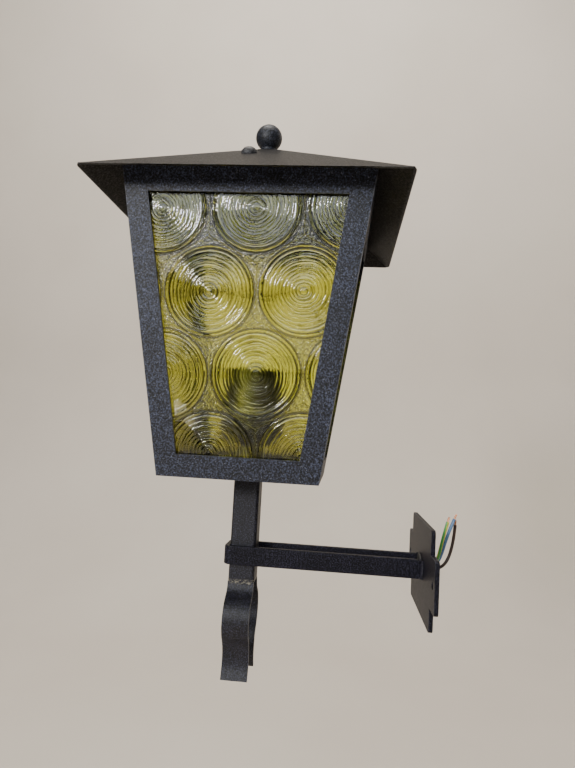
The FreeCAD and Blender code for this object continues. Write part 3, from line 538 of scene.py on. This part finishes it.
def twisted_strands(tip, way, count=6, length=3.8 * mm, strand=0.24 * mm, lay=0.52 * mm):
    """Copper strands round a middle one: helices of radius lay about the core's own line, each
    point being tip + way * t + lay * (cos, sin) of an angle that grows with t."""
    way = way / np.linalg.norm(way)
    side = np.cross(way, [1.0, 0.3, 0.0])
    side /= np.linalg.norm(side)
    other = np.cross(way, side)
    steps = np.linspace(-0.6 * mm, length, 12)
    parts = [tube_shell(tip + way * steps[:, None], strand, sides=8)]
    for number in range(count):
        angle = 2 * np.pi * number / count + steps / length * 0.9
        spread = lay * (1.0 + 0.06 * np.sin(number * 2.4))
        path = (tip + way * steps[:, None] * (1 - 0.05 * (number % 3)) + spread * (
            np.cos(angle)[:, None] * side + np.sin(angle)[:, None] * other))
        parts.append(tube_shell(path, strand, sides=8))
    return parts


strands = []
for name, points in routes.items():
    line = cord_line(name, points)
    way = line[-1] - line[-2]
    along = np.concatenate([[0.0], np.cumsum(np.linalg.norm(np.diff(line, axis=0), axis=1))])
    radius = core_radius * (1 + 0.02 * np.sin(along * 700.0))
    radius[-1] *= 0.90
    sides = 20
    rings, faces = tube_shell(line, radius, sides)
    core = new_piece(f"{name}_insulation", rings, faces)
    turn = np.tile(np.linspace(0, 2 * np.pi, sides, endpoint=False), len(line))
    wrap = np.stack([np.cos(turn), np.sin(turn), np.repeat(along / mm, sides)], axis=1)
    core.data.attributes.new("wrap", "FLOAT_VECTOR", "POINT").data.foreach_set(
        "vector", wrap.ravel())
    settle(core, "lantern", finishes[slot_of_node[name]], [name])
    strands += twisted_strands(line[-1], way)
    print(name, "length", round(along[-1] / mm, 1), "mm")
copper = new_piece("copper_strands", *join_parts(strands))
settle(copper, "lantern", finishes["bare_copper"], ["core_ends"])

# %% [markdown]
# ## Soft edges on the CAD solids
# A CAD solid has perfectly sharp edges, and nothing made of steel does. A copy of its mesh is
# merged into shared points, its flat faces are joined again, and a small Bevel rounds the edges
# that turn by more than thirty degrees. Weighted normals keep the flats flat. The CAD mesh
# itself is left alone; the copy stands for it.


# %% Copies of CAD nodes
def merged_mesh(name, nodes, unwanted=None):
    """One mesh from the nodes' triangles: the unwanted faces dropped, the same points merged,
    and neighbours in one plane joined into one face."""
    build = bmesh.new()
    for node in nodes:
        build.from_mesh(frame["nodes"][node].data)
    if unwanted:
        inner = [face for face in build.faces if unwanted(face)]
        bmesh.ops.delete(build, geom=inner, context="FACES")
    bmesh.ops.remove_doubles(build, verts=build.verts, dist=2e-6)
    bmesh.ops.dissolve_limit(build, angle_limit=math.radians(0.2), verts=build.verts,
                             edges=build.edges)
    mesh = bpy.data.meshes.new(name)
    build.to_mesh(mesh)
    build.free()
    return mesh


def softened(nodes, width, finish=None, name=None, unwanted=None, segments=2, angle=32):
    """The copy, with a bevel of this width in millimetres, riding where its first node rides."""
    nodes = [nodes] if isinstance(nodes, str) else list(nodes)
    name = name or f"{nodes[0]}_finished"
    mesh = merged_mesh(name, nodes, unwanted)
    thing = bpy.data.objects.new(name, mesh)
    bpy.context.scene.collection.objects.link(thing)
    mesh.polygons.foreach_set("use_smooth", np.ones(len(mesh.polygons), bool))
    if width:
        bevel = thing.modifiers.new("soft_edges", "BEVEL")
        bevel.width = width * mm
        bevel.segments = segments
        bevel.limit_method = "ANGLE"
        bevel.angle_limit = math.radians(angle)
        bevel.use_clamp_overlap = True
        bevel.harden_normals = False
        weighted = thing.modifiers.new("flat_flats", "WEIGHTED_NORMAL")
        weighted.keep_sharp = True
        weighted.weight = 80
    else:
        mesh.set_sharp_from_angle(angle=math.radians(angle))
    slot = slot_of_node[nodes[0]]
    settle(thing, body_of_node[nodes[0]], finish or finishes[slot], nodes)
    return thing


edge_widths = {
    "wall_plate": 0.5, "arm_strap": 0.7, "stem_tube": 0.45, "floor_plate": 0.3,
    "roof_bridge": 0.3, "bridge_rivets": 0.25, "cable_grommet": 0.4,
    "side_frame_front": 0.45, "side_frame_right": 0.45, "side_frame_wall": 0.45,
    "side_frame_left": 0.45, "glass_clips": 0.15, "earth_screw": 0.15, "earth_tag": 0.1,
    "holder_nipple": 0.1, "nipple_lower_nut": 0.35, "nipple_upper_nut": 0.35,
    "holder_riser": 0.3, "holder_cap": 0.5, "holder_core": 0.3, "terminal_screws": 0.12,
    "holder_shell": 0.35, "holder_thread": 0.12, "holder_contact": 0.1,
    "roof_screw_right": 0.12, "roof_screw_left": 0.12, "screw_washer_right": 0.12,
    "screw_washer_left": 0.12, "finial_collar": 0.3, "finial_ball": 0.2, "finial_stud": 0.15,
    "finial_washer": 0.15, "finial_nut": 0.3, "supply_cable": 0.0,
}
# The darker copies for stem, arm and plate, which carry painted shade.
shaded_copy = {"stem_tube": "shaded_stem_paint", "wall_plate": "shaded_bracket_paint",
            "arm_strap": "shaded_bracket_paint"}
for node, width in edge_widths.items():
    softened(node, width, finishes[shaded_copy[node]] if node in shaded_copy else None)


def mitre(face):
    """True for the faces inside the roof's sheet where two slopes meet at a ridge."""
    n = face.normal
    lying = abs(n.z) < 0.02 and abs(abs(n.x) - abs(n.y)) < 0.02
    return lying and all(abs(abs(v.co.x) - abs(v.co.y + 0.138)) < 2e-5 for v in face.verts)


slopes = sorted(node for node in frame["nodes"] if node.startswith("roof_slope"))
roof = softened(slopes, 0.35, name="roof_sheet", unwanted=mitre)
print("softened", len(edge_widths) + 1, "pieces; roof faces", len(roof.data.polygons))

# %% [markdown]
# ## Weld beads
# The arm's two legs are welded to the plate. A bead is a quarter-round laid into the corner, with
# the overlapping ripples that each drop of the weld leaves. Its cross-section swings from one leg
# of the corner to the other, and the radius swells a little with each ripple.


# %% Weld beads
def bead(corner, side, length, leg, ripple=1.25 * mm):
    """At height z and angle a the surface is corner + r * (side * cos a, -sin a), where r is
    leg / (cos a + sin a), the flat bead, raised by a fifth in the middle and by the ripple."""
    heights = np.linspace(-length / 2, length / 2, 72)
    angles = np.linspace(0, np.pi / 2, 15)
    z, a = np.meshgrid(heights, angles, indexing="ij")
    scale = (z + 0.35 * ripple * np.cos(2 * a)) / ripple
    drop = 0.055 * (1 - np.abs(2 * (scale - np.floor(scale)) - 1) ** 1.6)
    wander = 0.03 * np.sin(z / mm * 0.9 + side) + 0.02 * np.sin(z / mm * 2.3)
    ends = np.clip((length / 2 - np.abs(z)) / (1.2 * mm), 0, 1) ** 0.5
    radius = leg / (np.cos(a) + np.sin(a)) * (0.93 + 0.2 * np.sin(2 * a) + drop + wander)
    radius = radius * (0.55 + 0.45 * ends)
    skin = np.stack([corner[0] + side * radius * np.cos(a), corner[1] - radius * np.sin(a), z],
                    axis=-1)
    back = np.stack([np.full(len(heights), corner[0]), np.full(len(heights), corner[1]),
                     heights], axis=-1)[:, None]
    rings = np.concatenate([skin, back], axis=1)
    columns = rings.shape[1]
    faces = grid_faces(len(heights), columns, wrap=True)
    faces = (faces if side < 0 else faces[:, ::-1]).tolist()
    last = (len(heights) - 1) * columns
    low, high = list(range(columns)), [last + c for c in range(columns)]
    faces += [low[::-1], high] if side < 0 else [low, high[::-1]]
    return rings.reshape(-1, 3), faces


weld_low, weld_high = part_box("arm_welds")
weld_leg = 3 * mm
outer = (weld_high.x - weld_leg)
beads = [bead((side * outer, weld_high.y), side, weld_high.z - weld_low.z, weld_leg)
         for side in (1, -1)]
welds = new_piece("weld_beads", *join_parts(beads))
# The beads wear the arm's darker copy of the paint, which carries painted shade.
settle(welds, "lantern", finishes["shaded_bracket_paint"], ["arm_welds"])
print("beads", len(welds.data.polygons), "faces")

# %% [markdown]
# ## Bullseye glass
# The four panes are pressed to look like small spun discs leaded side by side. One disc has a
# round rim, a field that rises to the middle in a bullion, and a small knob where the rod
# would have been. The discs stand in a triangular lattice, and stippled glass fills the gaps.
# The outer face is a fine grid moved by this relief; the rings are too fine for the grid, so
# the finish draws them from each point's place in its own disc.

# %% Relief of a pane
disc_pitch, row_pitch, disc_radius = 65.5, 57.0, 31.4
lattice_turn = math.radians(1.8)


def disc_offsets(x, y, anchor):
    """Each point's place from the middle of its nearest disc, in millimetres. Rows are turned
    slightly and every second row is shifted by half a pitch; the nearest of the candidates in
    five rows wins."""
    along = np.array([math.cos(lattice_turn), math.sin(lattice_turn)])
    across = np.array([math.sin(lattice_turn), -math.cos(lattice_turn)])
    dx, dy = x - anchor[0], y - anchor[1]
    first, second = dx * along[0] + dy * along[1], dx * across[0] + dy * across[1]
    base = np.round(second / row_pitch)
    best = np.full(x.shape, np.inf)
    off_x, off_y = np.zeros_like(x), np.zeros_like(x)
    for step in (-1, 0, 1):
        row = base + step
        shift = np.where(np.mod(row, 2) == 1, 0.5, 0.0)
        column = np.round(first / disc_pitch - shift)
        u = first - (column + shift) * disc_pitch
        v = second - row * row_pitch
        far = np.hypot(u, v)
        nearer = far < best
        best = np.where(nearer, far, best)
        off_x = np.where(nearer, u * along[0] + v * across[0], off_x)
        off_y = np.where(nearer, u * along[1] + v * across[1], off_y)
    return off_x, off_y


def ridge(r, middle, half):
    """A rounded ridge: the square of a cosine that reaches zero half a width each side."""
    return np.cos(np.clip((r - middle) / half, -1, 1) * np.pi / 2) ** 2


def relief(x, y, anchor, seed):
    """Millimetres below the pane's outer plane. The ground lies at -1.5. A disc has a tall outer
    ridge, a groove, and a lower inner ridge; a field that rises by a shallow dome and a narrow
    bullion; slight lean; a knob with a ring round it; and slow waves over everything."""
    off_x, off_y = disc_offsets(x, y, anchor)
    r = np.hypot(off_x, off_y)
    turn = np.arctan2(off_y, off_x)
    inside = np.clip((disc_radius - 3.6 - r) / 1.6, 0, 1)
    inside = inside * inside * (3 - 2 * inside)
    rims = 1.05 * ridge(r, disc_radius - 1.3, 1.5) + 0.55 * ridge(r, disc_radius - 4.0, 1.4)
    dome = 0.36 * (1 - (r / disc_radius) ** 2) + 0.32 * np.exp(-(r / 9.0) ** 2)
    knob = 0.20 * np.exp(-(r / 1.6) ** 2) + 0.12 * ridge(r, 5.2, 1.1)
    waves = 0.035 * np.sin(x * 0.11 + seed) * np.cos(y * 0.09 + 2 * seed)
    lean = 0.05 * np.cos(turn - seed * 1.7) * r / disc_radius
    depth = -1.5 + rims + inside * (0.18 + dome + knob + lean) + waves
    return np.minimum(depth, -0.02), off_x, off_y


# %% [markdown]
# The pane's own axes come from its CAD solid: the four outer corners give the lower edge, the
# way up the slope and the way out. The grid runs between the slanting sides, so that its edges
# are exactly the pane's edges, and a flat back a glass thickness behind it closes the solid.


# %% Panes
def pane_corners(node, outwards):
    """The lower left, lower right, upper left and upper right corners of the outer face, as
    seen from outside, and the thickness."""
    mesh = frame["nodes"][node].data
    points = np.zeros(len(mesh.vertices) * 3)
    mesh.vertices.foreach_get("co", points)
    points = np.unique(points.reshape(-1, 3).round(7), axis=0)
    middle = points.mean(axis=0)
    across = np.cross([0, 0, 1.0], outwards)
    low = points[points[:, 2] < middle[2]]
    high = points[points[:, 2] > middle[2]]

    def outer_pair(group):
        outer_two = group[np.argsort(group @ outwards)[-2:]]
        return outer_two[np.argsort(outer_two @ across)]
    ll, lr = outer_pair(low)
    ul, ur = outer_pair(high)
    x_axis = (lr - ll) / np.linalg.norm(lr - ll)
    up_slope = (ul + ur) / 2 - (ll + lr) / 2
    y_axis = up_slope / np.linalg.norm(up_slope)
    z_axis = np.cross(x_axis, y_axis)
    thick = float(np.max((ll - points) @ z_axis))
    return ll, lr, ul, ur, x_axis, y_axis, z_axis, thick


def glass_pane(node, outwards, anchor, seed, finish, spacing=0.62):
    ll, lr, ul, ur, x_axis, y_axis, z_axis, thick = pane_corners(node, np.array(outwards, float))
    foot, head = np.linalg.norm(lr - ll) / mm, np.linalg.norm(ur - ul) / mm
    height = float(((ul + ur) / 2 - (ll + lr) / 2) @ y_axis) / mm
    rows, columns = int(height / spacing) + 1, int((foot + head) / 2 / spacing) + 1
    v, u = np.meshgrid(np.linspace(0, 1, rows), np.linspace(-0.5, 0.5, columns), indexing="ij")
    x = u * (foot + (head - foot) * v)
    y = v * height
    depth, off_x, off_y = relief(x, y, anchor, seed)
    origin = (ll + lr) / 2
    face = origin + (x[..., None] * x_axis + y[..., None] * y_axis + depth[..., None] * z_axis) * mm
    plane = origin + (x[..., None] * x_axis + y[..., None] * y_axis) * mm - thick * z_axis
    loop = np.concatenate([np.arange(columns), np.arange(1, rows) * columns + columns - 1,
                           (rows - 1) * columns + np.arange(columns - 2, -1, -1),
                           np.arange(rows - 2, 0, -1) * columns])
    back = plane.reshape(-1, 3)[loop]
    start, count = rows * columns, len(loop)
    beside = np.roll(np.arange(count), -1)
    walls = np.stack([loop[beside], loop, start + np.arange(count), start + beside], axis=1)
    faces = grid_faces(rows, columns).tolist() + walls.tolist()
    faces.append([start + int(i) for i in range(count)][::-1])
    pane = new_piece(f"{node}_pressed", np.concatenate([face.reshape(-1, 3), back]), faces)
    places = np.concatenate([np.stack([off_x, off_y, np.zeros_like(off_x)], -1).reshape(-1, 3),
                             np.zeros((count, 3))])
    pane.data.attributes.new("in_disc", "FLOAT_VECTOR", "POINT").data.foreach_set(
        "vector", places.ravel())
    pane.data.set_sharp_from_angle(angle=math.radians(50))
    settle(pane, "lantern", finish, [node])
    print(node, "grid", rows, "x", columns, "foot", round(foot, 1), "head", round(head, 1),
          "height", round(height, 1), "thick", round(thick / mm, 2))
    return pane


# %% [markdown]
# ## Amber glass
# Pressed glass of this colour is soda glass with a yellow tint. Light that passes straight to a
# lamp or a shadow would have to be traced as caustics, which is slow and noisy, so for shadow
# rays only the glass is a clear filter of the same tint. Rings, stipple and the wavy back are
# relief, in metres, so their slopes are true. The back counts as the plain middle of a disc.

# %% Glass finish
glass, tree, shader = new_material("amber_glass", Metallic=0.0, IOR=1.5,
                                   Transmission_Weight=1.0)
where = object_place(tree)
in_disc = add(tree, "ShaderNodeAttribute", attribute_name="in_disc").outputs["Vector"]
from_middle = add(tree, "ShaderNodeVectorMath", {0: in_disc}, operation="LENGTH").outputs["Value"]
field = maths(tree, "MULTIPLY", between(tree, from_middle, 1.2, 2.4, smooth=True),
              between(tree, from_middle, disc_radius - 4.6, disc_radius - 5.6, smooth=True))


ring_pitch = 2.4            # millimetres, like everything measured from a disc's middle
ring_depth, stipple_depth, sway_depth = 0.000098, 0.00065, 0.00009      # metres
knob_ring, bullion_ring = 2.6, 5.6


def line_at(radius, half):
    """1 on a circle of this radius, fading to 0 over half a width each side."""
    return between(tree, maths(tree, "ABSOLUTE", maths(tree, "SUBTRACT", from_middle, radius)),
                   half, half * 0.3, smooth=True)


print("rings every", ring_pitch, "mm, depth", ring_depth / mm, "mm")

# %% [markdown]
# A spun disc's rings are never quite round or quite even. A slow noise moves the radius before
# the sine is taken, and a second noise, which changes along the radius and slowly across the
# disc, bends the spacing and fades some rings. Outside the discs the same height is stipple.

# %% Glass relief
drift = maths(tree, "SUBTRACT", noise(tree, where, 28.0, detail=1.0), 0.5)
wobble = maths(tree, "MULTIPLY_ADD", drift, 5.0, from_middle)
slow = add(tree, "ShaderNodeVectorMath", {0: in_disc, 1: (0.045, 0.045, 0.0)},
           operation="MULTIPLY").outputs[0]
ring_place = add(tree, "ShaderNodeCombineXYZ", {2: maths(tree, "MULTIPLY", wobble, 0.55)})
uneven = noise(tree, add(tree, "ShaderNodeVectorMath", {0: slow, 1: ring_place.outputs[0]},
                         operation="ADD").outputs[0], 1.0, detail=2.0, roughness=0.55)
rings = maths(tree, "SINE", maths(tree, "MULTIPLY_ADD", wobble, 2 * math.pi / ring_pitch, maths(
    tree, "MULTIPLY", uneven, 9.0)))
strength = between(tree, uneven, 0.35, 0.65, 0.45, 1.0)
ring_height = maths(tree, "MULTIPLY", field, maths(
    tree, "MULTIPLY", maths(tree, "MULTIPLY", rings, strength), ring_depth))
ground = between(tree, from_middle, disc_radius - 0.5, disc_radius + 0.5, smooth=True)
pimples = noise(tree, where, 640.0, detail=2.0)
stipple = maths(tree, "MULTIPLY", ground, maths(tree, "MULTIPLY", pimples, stipple_depth))
sway = maths(tree, "MULTIPLY", noise(tree, where, 110.0, detail=1.0), sway_depth)
height = maths(tree, "ADD", maths(tree, "ADD", ring_height, stipple), sway)
bump = add(tree, "ShaderNodeBump", {"Strength": 1.0, "Distance": 1.0, "Height": height})
tree.links.new(bump.outputs[0], shader.inputs["Normal"])
tree.links.new(maths(tree, "MULTIPLY_ADD", ground, 0.12, 0.008), shader.inputs["Roughness"])
print("relief nodes", len(tree.nodes))

# %% [markdown]
# The tint carries painted shade: the grooves between the rings and the shoulders of the rims are
# darkened where refraction in the glass would show dark lines. The tint is also greyer in the
# stippled ground, and darker and browner towards the foot of a pane.

# %% Glass tint
tint = blend_colours(tree, between(tree, noise(tree, where, 14.0, detail=2.0), 0.3, 0.7),
                     (0.86, 0.87, 0.23, 1), (0.90, 0.91, 0.42, 1))
tint = blend_colours(tree, maths(tree, "MULTIPLY", ground, between(tree, pimples, 0.35, 0.6)),
                     tint, (0.24, 0.24, 0.16, 1))
# Painted shade: the ring grooves are darkened, standing in for the dark lines that refraction
# draws.
groove_shade = maths(tree, "MULTIPLY", field, between(tree, rings, -0.15, -0.9, smooth=True))
tint = blend_colours(tree, maths(tree, "MULTIPLY", groove_shade, strength), tint, (0.24, 0.23, 0.07, 1))
# Painted shade: dark lines on the rims' shoulders, the outer foot, the inner rim, the knob ring and
# the bullion ring, standing in for refraction.
shoulder_shade = maths(tree, "MAXIMUM", line_at(disc_radius - 2.75, 0.95),
                 maths(tree, "MAXIMUM", line_at(disc_radius + 0.2, 1.3),
                       maths(tree, "MAXIMUM", maths(tree, "MULTIPLY", line_at(
                           disc_radius - 5.3, 0.7), 0.6), maths(tree, "MULTIPLY", maths(
                               tree, "MAXIMUM", line_at(knob_ring, 0.8),
                               line_at(bullion_ring, 0.7)), 0.7))))
tint = blend_colours(tree, maths(tree, "MULTIPLY", shoulder_shade, 0.97), tint, (0.05, 0.043, 0.010, 1))
pane_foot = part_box("glass_pane_right")[0].z
height_up = add(tree, "ShaderNodeSeparateXYZ", {0: where}).outputs["Z"]
# Darker and browner towards the foot of each pane, over its lowest 62 mm, broken by a slow noise.
darker_near_foot = maths(tree, "MULTIPLY",
              between(tree, height_up, pane_foot + 62 * mm, pane_foot, smooth=True),
              between(tree, noise(tree, where, 60.0, detail=4.0), 0.3, 0.7, 0.45, 0.85))
tint = blend_colours(tree, darker_near_foot, tint, (0.30, 0.27, 0.13, 1), mode="MULTIPLY")
tree.links.new(tint, shader.inputs["Base Color"])
clear = add(tree, "ShaderNodeBsdfTransparent", {"Color": tint})
passing = add(tree, "ShaderNodeMixShader", {0: add(
    tree, "ShaderNodeLightPath").outputs["Is Shadow Ray"]})
tree.links.new(shader.outputs[0], passing.inputs[1])
tree.links.new(clear.outputs[0], passing.inputs[2])
tree.links.new(passing.outputs[0], tree.nodes["Material Output"].inputs["Surface"])
finishes["amber_glass"] = glass
print("glass nodes", len(tree.nodes))

# %% The four panes in place
for node, outwards, anchor, seed in (
        ("glass_pane_right", (1, 0, 0), (10.3, 66.8), 0.4),
        ("glass_pane_front", (0, -1, 0), (-8.0, 58.0), 1.7),
        ("glass_pane_left", (-1, 0, 0), (21.0, 71.0), 2.9),
        ("glass_pane_wall", (0, 1, 0), (2.0, 63.0), 4.1)):
    glass_pane(node, outwards, anchor, seed, glass)

# %% [markdown]
# ## The studio
# The floor is a plain pale sheet that curves up into a backdrop. Its section is a straight run,
# a quarter circle and a straight rise, carried sideways. The lamps are soft boxes: a small
# bright one at the upper left, a broad cool one that the glass mirrors, one overhead for the
# backdrop, and a weak one behind.


# %% Backdrop and lamps
def backdrop(floor=-0.36, front=2.2, corner=-0.75, bend=0.7, top=2.6, half=2.8):
    """The section goes from the front edge along the floor, round a quarter circle and up."""
    turn = np.linspace(0, np.pi / 2, 25)
    x = np.concatenate([[front], corner - bend * np.sin(turn), [corner - bend]])
    z = np.concatenate([[floor], floor + bend * (1 - np.cos(turn)), [top]])
    section, across = np.meshgrid(np.arange(len(x)), np.linspace(-half, half, 9), indexing="ij")
    points = np.stack([x[section], across - 0.138, z[section]], axis=-1)
    return points.reshape(-1, 3), grid_faces(len(x), 9).tolist()


sheet_finish, tree, shader = new_material("pale_sheet", Roughness=0.85)
mottle = between(tree, noise(tree, object_place(tree), 3.0, detail=4.0), 0.3, 0.7)
tree.links.new(blend_colours(tree, mottle, (0.61, 0.55, 0.475, 1), (0.65, 0.59, 0.515, 1)),
               shader.inputs["Base Color"])
sheet = new_piece("backdrop", *backdrop())
sheet.data.materials.append(sheet_finish)


def soft_box(name, place, target, size, power, colour=(1, 1, 1)):
    lamp = bpy.data.lights.new(name, "AREA")
    lamp.shape = "RECTANGLE"
    lamp.size, lamp.size_y = size
    lamp.energy = power
    lamp.color = colour
    holder = bpy.data.objects.new(name, lamp)
    bpy.context.scene.collection.objects.link(holder)
    way = Vector(target) - Vector(place)
    holder.matrix_world = Matrix.Translation(place) @ way.to_track_quat("-Z", "Y").to_matrix(
        ).to_4x4()
    return holder


heart = (0.0, -0.138, 0.15)
soft_box("key_box", (1.50, -1.00, 0.50), heart, (0.26, 0.26), 19, (1.0, 0.97, 0.94))
soft_box("window_box", (1.50, -0.46, 0.72), heart, (1.15, 1.0), 17, (0.90, 0.95, 1.0))
soft_box("wall_wash", (0.1, -0.3, 2.2), (-1.4, -0.138, 0.5), (1.4, 0.8), 60, (1.0, 0.96, 0.9))
soft_box("back_fill", (-1.0, 1.3, 1.2), heart, (0.8, 0.8), 5, (1.0, 0.95, 0.9))
world = bpy.data.worlds.new("studio_air")
bpy.context.scene.world = world
world.use_nodes = True
world.node_tree.nodes["Background"].inputs["Color"].default_value = (0.80, 0.76, 0.70, 1)
world.node_tree.nodes["Background"].inputs["Strength"].default_value = 0.10
